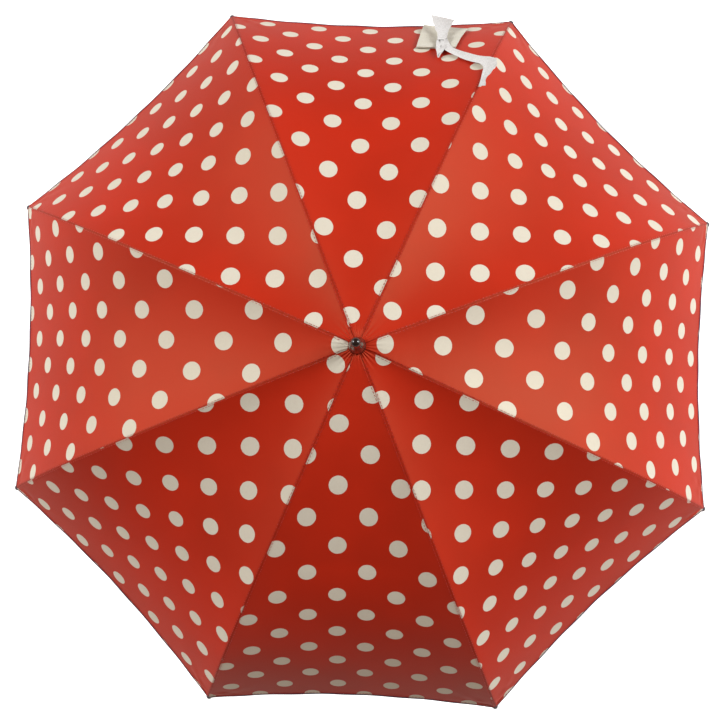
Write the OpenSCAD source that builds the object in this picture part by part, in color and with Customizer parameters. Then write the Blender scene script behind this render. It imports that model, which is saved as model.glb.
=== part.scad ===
// Child's stick umbrella, stored open. Millimetres, +Z up the shaft.
// The origin is on the shaft's axis, in the middle of the hand grip.

/* [Canopy] */
// height of the ribs' pivots above the middle of the grip
crown_z = 504; // [440:1:560]
// radius of the circle that the ribs' and stretchers' pivots stand on
pivot_r = 10; // [9:0.5:13]
// slope of a rib where it leaves the crown, in degrees below level
slope_in = 8; // [5:1:20]
// slope of a rib at its bracket
slope_mid = 22; // [18:1:30]
// slope of a rib at its tip
slope_out = 58; // [48:1:64]
// length of the steel inner rib, along its curve
inner_len = 200; // [170:1:220]
// length of the outer rod, along its curve
outer_len = 222; // [200:1:260]
// how far the hem curves in between two rib tips, along the cloth
hem_scallop = 7; // [0:1:30]
// how far the cloth dips between two ribs, from the brackets out
panel_sag = 13; // [0:0.5:15]
// thickness of the cloth's stand-in
cloth_t = 0.6; // [0.4:0.1:1.2]
// width of the tape that edges the hem
tape_w = 4; // [3:0.5:8]

/* [Frame] */
// outside radius of the shaft's tube
shaft_r = 4; // [3.5:0.25:5]
// wall of the shaft's tube
shaft_wall = 0.7; // [0.5:0.1:1]
// width and height of an inner rib's channel
rib_w = 2.4; // [2:0.1:3.2]
// radius of the outer rod
rod_r = 1.1; // [0.9:0.05:1.15]
// distance from a rib's centre line down to its stretcher's pivot
bracket_drop = 5; // [4.5:0.1:7]
// radius of the bracket's two pins
pin_r = 0.75; // [0.6:0.05:0.8]
// length of the runner's sleeve under its collar
runner_len = 42; // [34:1:50]

/* [Handle and ferrule] */
// radius of the handle
grip_r = 9.5; // [8:0.5:12]
// top of the handle
grip_top = 46; // [36:1:60]
// height at which the crook starts to bend
grip_low = -38; // [-60:1:-24]
// radius of the crook's centre line
crook_r = 24; // [20:1:32]
// length of the crook's straight end
crook_end = 14; // [6:1:24]
// radius of the ferrule's foot
ferrule_r = 7; // [6:0.5:9]
// radius of the ferrule's straight end
ferrule_tip_r = 3.6; // [3:0.2:5]
// length of the ferrule under its rounded end
ferrule_len = 50; // [40:1:60]

/* [Hidden] */
$fn = 64;
e = 0.01;
R1 = inner_len / ((slope_mid - slope_in) * PI / 180);
R2 = outer_len / ((slope_out - slope_mid) * PI / 180);
C1 = [pivot_r - R1 * sin(slope_in), crown_z - R1 * cos(slope_in)];
K = [C1[0] + R1 * sin(slope_mid), C1[1] + R1 * cos(slope_mid)];
C2 = [K[0] - R2 * sin(slope_mid), K[1] - R2 * cos(slope_mid)];
B = [K[0] - bracket_drop * sin(slope_mid), K[1] - bracket_drop * cos(slope_mid)];
link = norm([B[0] - pivot_r, B[1] - crown_z]);
link_slope = atan2(crown_z - B[1], B[0] - pivot_r);
runner_z = 2 * B[1] - crown_z;
closed_z = crown_z - 2 * link * cos(2.5);
rib_len = inner_len + outer_len;
eye_r = 1.6;
slot_w = 2.3;
seat_w = 3.8;
collar_r = 13;
key_r = 6.4;

function turn(s) = s < 0 ? slope_in : s < inner_len ? slope_in + s / R1 * 180 / PI
    : slope_mid + (s - inner_len) / R2 * 180 / PI;
function lift(s) = 2.7 + 0.4 * max(0, 1 - max(s, 0) / 40);
function on_rib(s, n) = let (t = turn(s), c = s < inner_len ? C1 : C2, r = s < inner_len ? R1 : R2)
    s < 0 ? [pivot_r + s * cos(t) + n * sin(t), crown_z - s * sin(t) + n * cos(t)]
    : [c[0] + (r + n) * sin(t), c[1] + (r + n) * cos(t)];
function sag(s) = panel_sag * min(1, max(s, 0) / inner_len) * (1 - 0.55 * pow(max(0, s - inner_len) / outer_len, 4));
function on_cloth(s, u, n) = let (p = on_rib(s, lift(s) + n), d = sag(s) * (1 - u * u))
    [p[0] * cos(22.5) - d * sin(turn(s)), u * (p[0] * sin(22.5) - 0.2), p[1] - d * cos(turn(s))];

module spoke(i) { rotate([0, 0, 45 * i - 22.5]) children(); }

// a bar with the given section, swept along a rib's arc from slope a to slope b
module along(centre, a, b) {
    translate([centre[0], 0, centre[1]]) rotate([90, 0, 0]) rotate([0, 0, 90 - b])
        rotate_extrude(angle = b - a, $fn = 360) children();
}

// a cylinder along Y, for pivots
module pivot(at, r, half) {
    translate([at[0], 0, at[1]]) rotate([90, 0, 0]) cylinder(r = r, h = 2 * half, center = true, $fn = 48);
}

module shaft() {
    color([0.78, 0.79, 0.8]) difference() {
        translate([0, 0, -20]) cylinder(r = shaft_r, h = crown_z + 44);
        translate([0, 0, -21]) cylinder(r = shaft_r - shaft_wall, h = crown_z + 46);
        for (z = [runner_z - runner_len - 14, closed_z - runner_len - 14])
            translate([0, -1.6, z]) cube([8, 3.2, 14]);
    }
}

module crown() {
    color([0.12, 0.11, 0.12]) difference() {
        translate([0, 0, crown_z - 5]) cylinder(r = 12.5, h = 6.6);
        translate([0, 0, crown_z - 6]) cylinder(r = shaft_r + 0.05, h = 9);
        for (i = [1:8]) spoke(i) translate([pivot_r - 2.1, -slot_w / 2, crown_z - 6]) cube([6, slot_w, 9]);
        translate([0, 0, crown_z]) rotate_extrude() translate([pivot_r, 0]) circle(r = 0.56, $fn = 32);
    }
}

module crown_wire() {
    color([0.75, 0.75, 0.77]) translate([0, 0, crown_z]) rotate_extrude()
        translate([pivot_r, 0]) circle(r = 0.5, $fn = 32);
}

module ferrule() {
    color([0.13, 0.08, 0.07]) translate([0, 0, crown_z + 5.6]) difference() {
        union() {
            cylinder(r = ferrule_r, h = 2.5);
            cylinder(r1 = ferrule_r - 0.3, r2 = ferrule_r - 1.4, h = 20);
            translate([0, 0, 20]) cylinder(r1 = ferrule_r - 1.4, r2 = ferrule_tip_r, h = 12);
            cylinder(r = ferrule_tip_r, h = ferrule_len);
            translate([0, 0, ferrule_len]) intersection() {
                sphere(r = ferrule_tip_r);
                cylinder(r = ferrule_tip_r + 1, h = ferrule_tip_r + 1);
            }
        }
        translate([0, 0, -1]) cylinder(r = shaft_r + 0.05, h = 20);
    }
}

module runner() {
    color([0.12, 0.11, 0.12]) difference() {
        union() {
            translate([0, 0, runner_z - runner_len]) cylinder(r = 7.6, h = runner_len + 3);
            translate([0, 0, runner_z - 5]) cylinder(r = collar_r, h = 8);
            translate([0, 0, runner_z - runner_len]) cylinder(r = 8.1, h = 5);
        }
        translate([0, 0, runner_z - runner_len - 1]) cylinder(r = shaft_r + 0.15, h = runner_len + 6);
        translate([0, -1.9, runner_z - runner_len - 1]) cube([key_r, 3.8, runner_len + 6]);
        for (i = [1:8]) spoke(i)
            translate([pivot_r - 2.1, -seat_w / 2, runner_z - 6]) cube([8, seat_w, 10]);
    }
}

// a catch stands 2 mm out of its window in the shaft
module catch(z) {
    translate([0, 1.3, z]) rotate([90, 0, 0]) linear_extrude(2.6)
        polygon([[-0.8, 1], [shaft_r, 1], [6, 11], [6, 12.6], [-0.8, 12.6]]);
}
module top_catch() { color([0.7, 0.7, 0.72]) catch(runner_z - runner_len - 13.8); }
module bottom_catch() { color([0.7, 0.7, 0.72]) catch(closed_z - runner_len - 13.8); }

module handle() {
    color([0.1, 0.09, 0.13]) difference() {
        union() {
            translate([0, 0, grip_low - e]) cylinder(r = grip_r, h = grip_top - grip_low + e);
            translate([crook_r, 0, grip_low]) rotate([-90, 0, 0]) rotate_extrude(angle = 180)
                translate([crook_r, 0]) circle(r = grip_r);
            translate([2 * crook_r, 0, grip_low - e]) cylinder(r = grip_r, h = crook_end + e);
            translate([2 * crook_r, 0, grip_low + crook_end]) intersection() {
                sphere(r = grip_r);
                cylinder(r = grip_r + 1, h = grip_r + 1);
            }
        }
        translate([0, 0, -22]) cylinder(r = shaft_r + 0.05, h = grip_top + 30);
    }
}

// an inner rib: an eye on the crown wire, a neck, the channel, and two ears pressed from its end
// that carry a pin for the rod and one for the stretcher
module rib(i) {
    neck = 9;
    color([0.72, 0.73, 0.75]) spoke(i) {
        difference() {
            union() {
                pivot([pivot_r, crown_z], eye_r, 0.95);
                along(C1, slope_in, slope_in + neck / R1 * 180 / PI)
                    translate([R1 - 0.9, -0.95]) square([1.8, 1.9]);
                along(C1, turn(neck - 1), turn(inner_len - 3.5))
                    translate([R1, 0]) difference() {
                        square([rib_w, rib_w], center = true);
                        translate([-rib_w / 2 - 0.2, -rib_w / 2 + 0.5]) square([rib_w - 0.4, rib_w - 1]);
                    }
            }
            pivot([pivot_r, crown_z], 0.6, 2);
        }
        translate([K[0], 0, K[1]]) rotate([0, slope_mid, 0]) {
            for (y = [-1, 1]) translate([0, y * (rib_w / 2 + 0.35) + 0.45, 0]) rotate([90, 0, 0])
                linear_extrude(0.9) polygon([[-14, -2.6], [-14, 1.1], [0, 1.6], [2.2, 1.2], [2.4, -6],
                    [1.6, -6.8], [-1.6, -6.8], [-5, -2.6]]);
            translate([-14, -rib_w / 2 - 0.4, -2.6]) cube([7, rib_w + 0.8, 1.6]);
        }
        pivot(K, pin_r, rib_w / 2 + 0.4);
        pivot(B, pin_r, rib_w / 2 + 0.4);
    }
}

module rod(i) {
    color([0.16, 0.16, 0.17]) spoke(i) difference() {
        union() {
            pivot(K, 1.75, 1);
            along(C2, slope_mid, turn(rib_len - 2)) translate([R2, 0]) circle(r = rod_r, $fn = 24);
        }
        pivot(K, pin_r + 0.08, 3);
    }
}

// the socket over a rod's end, with a rounded point
module tip(i) {
    p = on_rib(rib_len, 0);
    color([0.14, 0.12, 0.15]) spoke(i) translate([p[0], 0, p[1]]) rotate([0, 90 + slope_out, 0]) {
        difference() {
            translate([0, 0, -12]) cylinder(r = 1.9, h = 16, $fn = 32);
            translate([0, 0, -13]) cylinder(r = rod_r + 0.35, h = 12, $fn = 32);
        }
        translate([0, 0, 1.5]) cylinder(r = 2.3, h = 5.5, $fn = 32);
        translate([0, 0, 7]) intersection() {
            sphere(r = 2.3, $fn = 32);
            cylinder(r = 3, h = 3);
        }
    }
}

module stretcher(i) {
    color([0.7, 0.71, 0.73]) spoke(i) difference() {
        union() {
            pivot(B, 1.75, 1);
            pivot([pivot_r, runner_z], eye_r, 1);
            pivot([pivot_r, runner_z], 0.8, 1.7);
            translate([pivot_r, 0, runner_z]) rotate([0, -link_slope, 0]) {
                translate([1, -0.95, -1]) cube([8, 1.9, 2]);
                translate([link - 9, -0.95, -1]) cube([8, 1.9, 2]);
                translate([8, -1, -1.1]) cube([link - 16, 2, 2.2]);
            }
        }
        pivot(B, pin_r + 0.08, 3);
    }
}

// a thin closed shell on one panel, from the crown or from a way short of the hem out to the hem,
// between two heights over the cloth's underside
module shell(i, from_hem, n0, n1, ns) {
    nu = 6;
    function end(u) = rib_len + 1 - hem_scallop * (1 - u * u);
    function start(u) = from_hem > 0 ? end(u) - from_hem : -5.4;
    function at(a, b, n) = let (u = 2 * b / nu - 1) on_cloth(start(u) + (end(u) - start(u)) * a / ns, u, n);
    w = nu + 1;
    m = (ns + 1) * w;
    ring = concat([for (b = [0:nu]) b], [for (a = [1:ns]) a * w + nu],
        [for (b = [nu - 1:-1:0]) ns * w + b], [for (a = [ns - 1:-1:1]) a * w]);
    rotate([0, 0, 45 * (i - 1)]) polyhedron(
        points = [for (n = [n0, n1]) for (a = [0:ns]) for (b = [0:nu]) at(a, b, n)],
        faces = concat(
            [for (a = [0:ns - 1]) for (b = [0:nu - 1]) for (f = [[0, 1, w], [1, w + 1, w]])
                [for (v = f) a * w + b + v]],
            [for (a = [0:ns - 1]) for (b = [0:nu - 1]) for (f = [[w, 1, 0], [w, w + 1, 1]])
                [for (v = f) m + a * w + b + v]],
            [for (k = [0:len(ring) - 1]) let (p = ring[k], q = ring[(k + 1) % len(ring)])
                for (f = [[q, p, m + p], [q, m + p, m + q]]) f]));
}
module gore(i) { color([0.72, 0.13, 0.08]) shell(i, 0, 0, cloth_t, 16); }
module hem_tape(i) { color([0.1, 0.08, 0.2]) shell(i, tape_w, cloth_t + 0.15, cloth_t + 0.55, 1); }

// the strap that is wrapped round the closed canopy, lying folded at the hem of one panel
module on_panel(s, u) {
    half = on_rib(s, 0)[0] * sin(22.5);
    rotate([0, 0, 90]) translate(on_cloth(s, u, cloth_t + 1.5))
        rotate([0, atan2(tan(turn(s)), cos(22.5)), 0]) rotate([atan(2 * sag(s) * u / half), 0, 0]) children();
}
module tie_strap() {
    color([0.87, 0.82, 0.68]) on_panel(370, -0.526) rotate([0, 0, -11])
        translate([-29, -19, 0]) cube([58, 38, 1]);
}
// the ribbon's path over the panel: distance along the rib, sideways, width, lift
RIBBON = [[406, -67, 24, 6], [384, -68, 16, 4], [361, -69, 10, 3.4], [337, -71, 9, 4.6],
    [319, -85, 8, 2.6], [304, -100, 7, 0.6], [289, -108, 6, 0.6], [270, -103, 4, 0.6], [256, -101, 5, 0.6]];
module ribbon_spot(q) {
    on_panel(q[0], q[1] / (on_rib(q[0], 0)[0] * sin(22.5)))
        translate([-1, -q[2] / 2, q[3]]) cube([2, q[2], 1.2]);
}
module ribbon() {
    color([0.93, 0.92, 0.9]) for (k = [0:len(RIBBON) - 2]) hull() {
        ribbon_spot(RIBBON[k]);
        ribbon_spot(RIBBON[k + 1]);
    }
}

shaft();
crown();
crown_wire();
ferrule();
runner();
top_catch();
bottom_catch();
handle();
for (i = [1:8]) {
    rib(i);
    rod(i);
    tip(i);
    stretcher(i);
    gore(i);
    hem_tape(i);
}
tie_strap();
ribbon();
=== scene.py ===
import math
import bpy
import numpy as np
from bpy.props import FloatProperty, IntProperty
from mathutils import Matrix, Vector
from mathutils.geometry import tessellate_polygon


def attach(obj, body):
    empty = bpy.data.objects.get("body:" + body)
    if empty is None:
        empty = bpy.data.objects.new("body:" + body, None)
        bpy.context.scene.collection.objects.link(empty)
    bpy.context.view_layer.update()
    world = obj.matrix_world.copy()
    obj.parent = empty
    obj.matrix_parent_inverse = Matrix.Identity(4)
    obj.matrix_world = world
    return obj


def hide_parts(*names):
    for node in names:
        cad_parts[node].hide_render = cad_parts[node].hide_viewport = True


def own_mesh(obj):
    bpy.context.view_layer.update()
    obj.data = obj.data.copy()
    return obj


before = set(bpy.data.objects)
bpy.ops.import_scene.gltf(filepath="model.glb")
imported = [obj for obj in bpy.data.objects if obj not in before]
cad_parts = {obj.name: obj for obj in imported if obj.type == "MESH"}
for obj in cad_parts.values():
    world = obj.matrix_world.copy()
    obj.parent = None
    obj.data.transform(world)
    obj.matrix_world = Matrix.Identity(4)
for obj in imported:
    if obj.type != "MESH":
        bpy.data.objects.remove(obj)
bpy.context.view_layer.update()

bl_info = {
    "name": "Child's dotted umbrella",
    "version": (1, 0, 0),
    "blender": (4, 5, 0),
    "location": "View3D > Sidebar > Umbrella",
    "description": "Builds an open child's umbrella piece by piece",
    "category": "Object",
}

MM = 0.001
RIBS = range(1, 9)
HALF = math.pi / 8  # half the angle between two ribs
CLOTH_START = -5.4  # where the cloth begins, in mm along a rib from its pivot
FLOOR = -0.074  # the floor's height in metres, just under the handle
# where each panel's row of dots starts: millimetres from the shaft, millimetres across, degrees of turn
DOTS = {1: (25, 2.5, 0.5), 2: (45, 1.5, 0), 3: (28, 6.5, -1), 4: (44, 11.5, -1),
        5: (16, -1, -1), 6: (25, -1.5, -0.5), 7: (43, 12.5, 0), 8: (23.5, 10, -0.5)}


class UmbrellaSettings(bpy.types.PropertyGroup):
    crown_z: FloatProperty(name="Crown height", description="Height of the rib pivots, mm", default=504)
    pivot_r: FloatProperty(name="Pivot circle", description="Radius of the circle of pivots, mm", default=10)
    slope_in: FloatProperty(name="Inner slope", description="Rib's slope at the crown, degrees", default=8)
    slope_mid: FloatProperty(name="Middle slope", description="Rib's slope at its joint, degrees", default=22)
    slope_out: FloatProperty(name="Outer slope", description="Rib's slope at its tip, degrees", default=58)
    inner_len: FloatProperty(name="Inner rib", description="Length of the steel rib, mm", default=200)
    outer_len: FloatProperty(name="Outer rod", description="Length of the flexible rod, mm", default=222)
    scallop: FloatProperty(name="Hem curve", description="How far the hem curves in, mm", default=5)
    sag: FloatProperty(name="Panel dip", description="How far a panel dips between ribs, mm", default=13)
    cloth_t: FloatProperty(name="Cloth", description="Thickness of the cloth, mm", default=0.3)
    pitch: FloatProperty(name="Dot pitch", description="Distance between rows of dots, mm", default=25.63)
    dot_r: FloatProperty(name="Dot radius", description="Radius of a printed dot, mm", default=7.7)
    stitch: FloatProperty(name="Stitch", description="Length of one stitch, mm", default=2.4)
    seed: IntProperty(name="Seed", description="Seed of the cloth's small folds", default=7)


def settings():
    return bpy.context.scene.umbrella


def rib_turn(k):
    """The angle of rib k round the shaft, in degrees."""
    return 45 * k - 22.5


# ---- the canopy's shape, in millimetres -------------------------------------------------

class Canopy:
    """The surface that the ribs and the cloth lie on."""

    def __init__(self, p):
        self.p = p
        self.length = p.inner_len + p.outer_len
        a, b, c = (math.radians(x) for x in (p.slope_in, p.slope_mid, p.slope_out))
        self.a, self.b = a, b
        self.r1, self.r2 = p.inner_len / (b - a), p.outer_len / (c - b)
        self.c1 = np.array([p.pivot_r - self.r1 * math.sin(a), p.crown_z - self.r1 * math.cos(a)])
        self.knee = self.c1 + self.r1 * np.array([math.sin(b), math.cos(b)])
        self.c2 = self.knee - self.r2 * np.array([math.sin(b), math.cos(b)])
        self.hang = self.knee - 5 * np.array([math.sin(b), math.cos(b)])
        self.runner_z = 2 * self.hang[1] - p.crown_z
        s = np.linspace(0, self.length, 900)
        x, z = self.rib(s, 2.5)
        x = x * math.cos(HALF)
        flat = x[0] / 0.97 + np.concatenate([[0], np.cumsum(np.hypot(np.diff(x), np.diff(z)))])
        w = flat / flat[-1] * math.pi
        flat = flat - 3 * np.sin(w) + 2.5 * np.sin(2 * w) + 4.5 * np.sin(3 * w)
        self.s_table = np.concatenate([[-20], s, [self.length + 5]])
        self.flat_table = np.concatenate([[flat[0] - 20], flat, [flat[-1] + 5]])
        rng = np.random.default_rng(p.seed)
        self.waves = [(k, rng.uniform(0, 6.28, 8), rng.uniform(0.5, 1, 8)) for k in (2.3, 4.1, 6.7, 9.5)]

    def turn(self, s):
        s = np.asarray(s, float)
        inner = self.a + np.maximum(s, 0) / self.r1
        return np.where(s < self.p.inner_len, inner, self.b + (s - self.p.inner_len) / self.r2)

    def rib(self, s, n=0.0):
        """(distance from the shaft, height) at s along a rib, n outward of its centre line."""
        s = np.asarray(s, float)
        t = self.turn(s)
        far = s >= self.p.inner_len
        r = np.where(far, self.r2, self.r1) + n
        x = np.where(far, self.c2[0], self.c1[0]) + r * np.sin(t)
        z = np.where(far, self.c2[1], self.c1[1]) + r * np.cos(t)
        back = np.minimum(s, 0)
        return x + back * np.cos(self.a), z - back * np.sin(self.a)

    def smooth(self, s, u, n):
        """A point n above a panel's underside, before its small folds; u is -1 and 1 at the two ribs."""
        lift = 2.7 + 0.9 * np.clip(1 - np.maximum(s, 0) / 40, 0, 1)
        x, z = self.rib(s, lift + n)
        t = self.turn(s)
        taut = 1 - 0.55 * np.clip((s - self.p.inner_len) / self.p.outer_len, 0, None) ** 4
        dip = self.p.sag * np.clip(s / self.p.inner_len, 0, 1) * taut * (1 - u * u)
        return x * math.cos(HALF) - dip * np.sin(t), u * x * math.sin(HALF), z - dip * np.cos(t)

    def folds(self, s, u, panel):
        """Small folds as a height: slack between the ribs, puckers at the tips, pleats at the crown."""
        x, _ = self.rib(s, 2)
        edge = (1 - np.abs(u)) * x * math.sin(HALF)
        calm = np.clip(edge / 25, 0, 1) ** 1.5
        h = np.zeros_like(np.asarray(s, float))
        for k, phase, size in self.waves:
            i = panel - 1
            across = u * x * math.sin(HALF) / 100
            drift = 0.25 * np.sin(s / 90 + phase[i])
            h += 0.30 / k * size[i] * np.sin(k * (across + drift) * 2 + phase[i]) * calm
        to_hem = self.hem(u) - s
        for side in (-1, 1):
            d = (1 - side * u) * x * math.sin(HALF)
            r = np.hypot(d, to_hem)
            angle = np.arctan2(d, np.maximum(to_hem, 0.01))
            near = np.exp(-((r / 34) ** 2)) * np.clip(r / 7, 0, 1)
            fade = np.sin(math.pi * np.clip(angle / 1.57, 0, 1))
            h += 0.75 * near * np.sin(11 * angle + panel * 1.7 + side) * fade
            h -= 0.5 * np.exp(-((d / 1.0) ** 2))
            h += 0.10 * np.exp(-d / 3.0) * np.sin(s * 0.62 + 2.0 * np.sin(s * 0.053 + panel))
        h += 0.25 * np.exp(-to_hem / 12) * np.sin(u * 17 + panel * 2.1) * calm
        pleat = 0.28 * np.exp(-((s + 6) / 14) ** 2) * np.cos(4 * math.pi * u + 2.3 * panel)
        h += pleat * np.clip((s - CLOTH_START) / 4, 0, 1)
        return h

    def hem(self, u):
        return self.length - 1 - self.p.scallop * (1 - u * u)

    def cloth(self, s, u, n, panel):
        """Points of the cloth in the row frame, in metres."""
        h = n + self.folds(s, u, panel)
        x, y, z = self.smooth(s, u, h)
        a = math.radians(45 * (panel - 1))
        return np.stack([x * math.cos(a) - y * math.sin(a), x * math.sin(a) + y * math.cos(a), z], -1) * MM

    def normal(self, s, u, panel):
        e = 0.25
        w = np.maximum(self.rib(s, 2)[0] * math.sin(HALF), 1)
        ds = self.cloth(s + e, u, 0, panel) - self.cloth(s - e, u, 0, panel)
        lo, hi = np.clip(u - e / w, -1, 1), np.clip(u + e / w, -1, 1)
        du = self.cloth(s, hi, 0, panel) - self.cloth(s, lo, 0, panel)
        n = np.cross(ds, du)
        return n / np.linalg.norm(n, axis=-1, keepdims=True)

    def flat(self, s):
        """Distance from the shaft along the cloth in the middle of a panel."""
        return np.interp(s, self.s_table, self.flat_table)


# ---- meshes -----------------------------------------------------------------------------

def make(name, parts, materials, angle=35.0):
    """One object from parts of (vertices in metres, faces, material number)."""
    verts, faces, mats, base = [], [], [], 0
    for v, f, m in parts:
        v = np.asarray(v, float)
        verts.append(v)
        faces += [[base + i for i in face] for face in f]
        mats += [m] * len(f)
        base += len(v)
    mesh = bpy.data.meshes.new(name)
    mesh.from_pydata(np.concatenate(verts).tolist(), [], faces)
    for m in materials:
        mesh.materials.append(m)
    mesh.polygons.foreach_set("material_index", mats)
    mesh.polygons.foreach_set("use_smooth", [True] * len(faces))
    mesh.update()
    if angle < 180:
        mesh.set_sharp_from_angle(angle=math.radians(angle))
    o = bpy.data.objects.new(name, mesh)
    bpy.context.collection.objects.link(o)
    return o


def plain(o):
    """Applies an object's modifiers."""
    dg = bpy.context.evaluated_depsgraph_get()
    mesh = bpy.data.meshes.new_from_object(o.evaluated_get(dg))
    o.modifiers.clear()
    o.data = mesh
    return o


def soften(o, width, segments=2):
    b = o.modifiers.new("edges", "BEVEL")
    b.width, b.segments, b.limit_method, b.angle_limit = width * MM, segments, "ANGLE", math.radians(40)
    plain(o)
    o.data.polygons.foreach_set("use_smooth", [True] * len(o.data.polygons))
    o.data.set_sharp_from_angle(angle=math.radians(35))
    return o


def lathe(profile, seg=48, closed=False):
    """A profile of (r, z) in mm turned round Z; ends with r 0 close to a point."""
    verts, rings = [], []
    for r, z in profile:
        if r <= 1e-6:
            rings.append([len(verts)] * seg)
            verts.append((0, 0, z))
        else:
            rings.append(list(range(len(verts), len(verts) + seg)))
            verts += [(x, y, z) for x, y in ring(r, seg)]
    faces = []
    pairs = list(zip(rings, rings[1:])) + ([(rings[-1], rings[0])] if closed else [])
    for a, b in pairs:
        for i in range(seg):
            j = (i + 1) % seg
            face = [a[i], a[j], b[j], b[i]]
            face = [v for k, v in enumerate(face) if v not in face[:k]]
            if len(face) > 2:
                faces.append(face)
    return np.array(verts, float) * MM, faces


def sweep(path, across, section, close=True):
    """A section of (out, side) in mm carried along a path in mm; across is each point's side direction."""
    path, across = np.asarray(path, float), np.asarray(across, float)
    tangent = np.gradient(path, axis=0)
    tangent /= np.linalg.norm(tangent, axis=1, keepdims=True)
    out = np.cross(tangent, across)
    out /= np.linalg.norm(out, axis=1, keepdims=True)
    m, n = len(section), len(path)
    scale = section if np.ndim(section[0][0]) else None
    verts = []
    for i in range(n):
        for k in range(m):
            a, b = (section[k][0][i], section[k][1][i]) if scale else section[k]
            verts.append(path[i] + out[i] * a + across[i] * b)
    faces = [[i * m + k, i * m + (k + 1) % m, (i + 1) * m + (k + 1) % m, (i + 1) * m + k]
             for i in range(n - 1) for k in range(m)]
    if close:
        faces += [list(range(m))[::-1], [(n - 1) * m + k for k in range(m)]]
    return np.array(verts) * MM, faces


def ring(r, seg):
    return [(r * math.cos(math.tau * k / seg), r * math.sin(math.tau * k / seg)) for k in range(seg)]


def prism(outer, holes, z0, z1):
    """A flat outline with holes, in mm, pulled up from z0 to z1."""
    loops = [outer] + holes
    flat = [p for loop in loops for p in loop]
    n = len(flat)
    tris = tessellate_polygon([[Vector((x, y, 0)) for x, y in loop] for loop in loops])
    def area(t):
        (ax, ay), (bx, by), (cx, cy) = (flat[i] for i in t)
        return (bx - ax) * (cy - ay) - (cx - ax) * (by - ay)
    tris = [t if area(t) > 0 else t[::-1] for t in (list(t) for t in tris)]
    faces = [[i for i in t[::-1]] for t in tris] + [[i + n for i in t] for t in tris]
    base = 0
    for loop in loops:
        m = len(loop)
        turn = sum(loop[i][0] * loop[(i + 1) % m][1] - loop[(i + 1) % m][0] * loop[i][1] for i in range(m))
        for i in range(m):
            a, b = base + i, base + (i + 1) % m
            if (turn > 0) != (loop is outer):
                a, b = b, a
            faces.append([a, b, b + n, a + n])
        base += m
    verts = [(x, y, z0) for x, y in flat] + [(x, y, z1) for x, y in flat]
    return np.array(verts, float) * MM, faces


def turned(part, x=0.0, y=0.0, z=0.0, tilt=0.0, spin=0.0, lie=False):
    """A part laid on its side if asked, tilted about Y, moved, then spun about Z; millimetres and degrees."""
    v, f = part
    v = np.array(v)
    if lie:
        v = v[:, [0, 2, 1]] * [1, 1, -1]
    t = math.radians(tilt)
    v = v @ np.array([[math.cos(t), 0, -math.sin(t)], [0, 1, 0], [math.sin(t), 0, math.cos(t)]])
    v = v + np.array([x, y, z]) * MM
    a = math.radians(spin)
    v = v @ np.array([[math.cos(a), math.sin(a), 0], [-math.sin(a), math.cos(a), 0], [0, 0, 1]])
    return v, f


def pin_part(r, half, seg=20, bore=0.0):
    c = min(0.15, r * 0.3)
    outer = [(r - c, -half), (r, -half + c), (r, half - c), (r - c, half)]
    if bore:
        return lathe([(bore, -half)] + outer + [(bore, half)], seg, closed=True)
    return lathe([(0, -half)] + outer + [(0, half)], seg)


# ---- shader expressions -----------------------------------------------------------------

class Shade:
    """A socket or a number that can be written in a formula."""

    tree = None

    def __init__(self, socket):
        self.socket = socket

    @classmethod
    def node(cls, kind, out=0, props=None, **inputs):
        """Any node: its properties, its inputs by name or i-number, and which output is wanted."""
        n = cls.tree.nodes.new(kind)
        for k, v in (props or {}).items():
            setattr(n, k, v)
        for k, v in inputs.items():
            s = n.inputs[int(k[1:])] if k[0] == "i" and k[1:].isdigit() else n.inputs[k.replace("_", " ")]
            cls.put(s, v)
        return cls(n.outputs[out])

    @classmethod
    def put(cls, s, v):
        if isinstance(v, Shade):
            cls.tree.links.new(v.socket, s)
        else:
            s.default_value = v

    def math(self, op, *others):
        n = self.tree.nodes.new("ShaderNodeMath")
        n.operation = op
        for s, v in zip(n.inputs, (self, *others)):
            self.put(s, v)
        return Shade(n.outputs[0])

    def __add__(self, o): return self.math("ADD", o)
    def __sub__(self, o): return self.math("SUBTRACT", o)
    def __mul__(self, o): return self.math("MULTIPLY", o)
    __radd__, __rmul__ = __add__, __mul__
    def __rsub__(self, o): return (self * -1.0) + o
    def sin(self): return self.math("SINE")
    def round(self): return self.math("ROUND")
    def root(self): return self.math("SQRT")
    def abs(self): return self.math("ABSOLUTE")

    def step(self, low, high):
        """0 under low, 1 over high, smooth in between."""
        return Shade.node("ShaderNodeMapRange", props={"interpolation_type": "SMOOTHSTEP"},
                          Value=self, From_Min=low, From_Max=high)


def mix(factor, a, b):
    n = Shade.tree.nodes.new("ShaderNodeMix")
    n.data_type = "RGBA"
    Shade.put(n.inputs[0], factor)
    for s, v in ((n.inputs[6], a), (n.inputs[7], b)):
        Shade.put(s, v if isinstance(v, Shade) else (*v, 1))
    return Shade(n.outputs[2])


def noise(scale, detail=2.0, rough=0.5, at=None, stretch=None):
    """Noise in the object's own space, or at the given coordinates."""
    at = at or Shade.node("ShaderNodeTexCoord", "Object")
    if stretch:
        at = Shade.node("ShaderNodeVectorMath", props={"operation": "MULTIPLY"}, i0=at, i1=stretch)
    return Shade.node("ShaderNodeTexNoise", "Fac", Vector=at, Scale=scale, Detail=detail, Roughness=rough)


def material(name, build):
    """A Principled material; build gives the varying inputs and the plain values."""
    m = bpy.data.materials.new(name)
    m.use_nodes = True
    Shade.tree = m.node_tree
    b = m.node_tree.nodes["Principled BSDF"]
    for k, v in build().items():
        if k == "Bump":
            height, strength, distance = v
            v = Shade.node("ShaderNodeBump", Strength=strength, Distance=distance, Height=height)
            k = "Normal"
        Shade.put(b.inputs[k], (*v, 1) if isinstance(v, tuple) and len(v) == 3 and "Color" in k else v)
    m.diffuse_color = (*[float(x) for x in list(b.inputs["Base Color"].default_value)[:3]], 1)
    return m


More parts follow.
